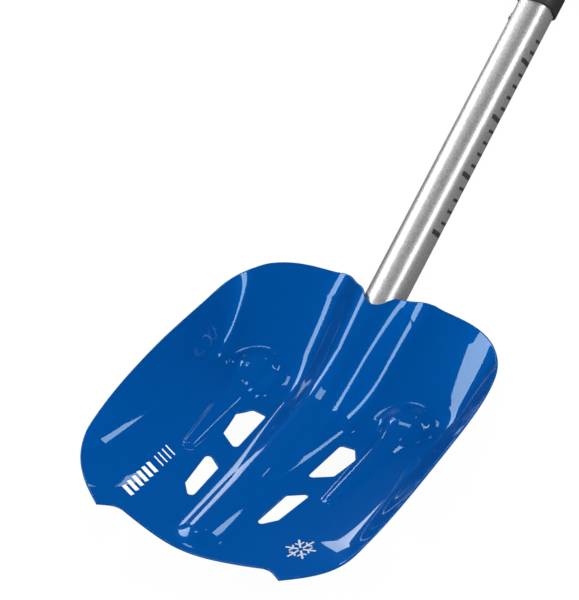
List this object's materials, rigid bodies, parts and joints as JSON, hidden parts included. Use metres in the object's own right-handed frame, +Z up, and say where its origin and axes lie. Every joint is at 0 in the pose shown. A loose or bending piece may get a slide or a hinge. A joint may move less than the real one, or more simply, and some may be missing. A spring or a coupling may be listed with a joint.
{
  "type": "avalanche shovel",
  "caption": "Avalanche shovel with a deep pressed metal scoop, a detachable telescopic oval shaft with snap buttons, and a T-grip.",
  "frame": {"origin": "middle of the bounding box in X and Y, at its lowest point: the ground it lies on, scoop up", "axes": "+Y along the shaft from the blade to the grip, +Z up out of the scoop, +X across the blade to its right seen from the cutting edge towards the grip"},
  "size_m": [0.2568, 0.7774, 0.1299],
  "materials": {
    "blade_blue": "gloss blue lacquer over pressed aluminium sheet",
    "shaft_aluminium": "bead-blasted, clear anodised",
    "inner_aluminium": "drawn and clear anodised",
    "black_plastic": "fine moulded texture",
    "grip_plastic": "moulded, spark-eroded texture",
    "grip_rubber": "soft matt rubber, dark blue",
    "spring_steel": "rolled strip, polished dome",
    "pin_steel": "turned stainless"
  },
  "bodies": {
    "blade_head": {"blade": "blade_blue", "rear_saddle": "blade_blue", "saddle_welds": "blade_blue"},
    "lower_shaft": {"lower_tube": "shaft_aluminium", "lower_tube_plug": "black_plastic", "lower_plug_pin": "pin_steel", "lower_tube_collar": "black_plastic", "collar_pins": "pin_steel"},
    "blade_button": {"blade_snap_button": "spring_steel"},
    "upper_shaft": {"upper_tube": "inner_aluminium", "upper_tube_bush": "black_plastic", "upper_bush_pin": "pin_steel", "grip_front_shell": "grip_plastic", "grip_rear_shell": "grip_plastic", "grip_palm_pad": "grip_rubber", "grip_cap_left": "grip_rubber", "grip_cap_right": "grip_rubber", "grip_screws": "pin_steel", "grip_cross_pin": "pin_steel", "grip_tube_insert": "black_plastic"},
    "telescope_button": {"telescope_snap_button": "spring_steel"}
  },
  "joints": [
    {"name": "shaft_release", "type": "slide", "parent": "blade_head", "child": "lower_shaft", "axis": [0, 1, 0], "range_m": [0, 0.11]},
    {"name": "telescope", "type": "slide", "parent": "lower_shaft", "child": "upper_shaft", "axis": [0, 1, 0], "range_m": [-0.125, 0]},
    {"name": "blade_button_press", "type": "slide", "parent": "lower_shaft", "child": "blade_button", "axis": [0, 0, 1], "range_m": [0, 0.004], "stiffness_N_per_m": 1500, "deforming": ["blade_snap_button"]},
    {"name": "telescope_button_press", "type": "slide", "parent": "upper_shaft", "child": "telescope_button", "axis": [1, 0, 0], "range_m": [0, 0.004], "stiffness_N_per_m": 1500, "deforming": ["telescope_snap_button"]}
  ]
}
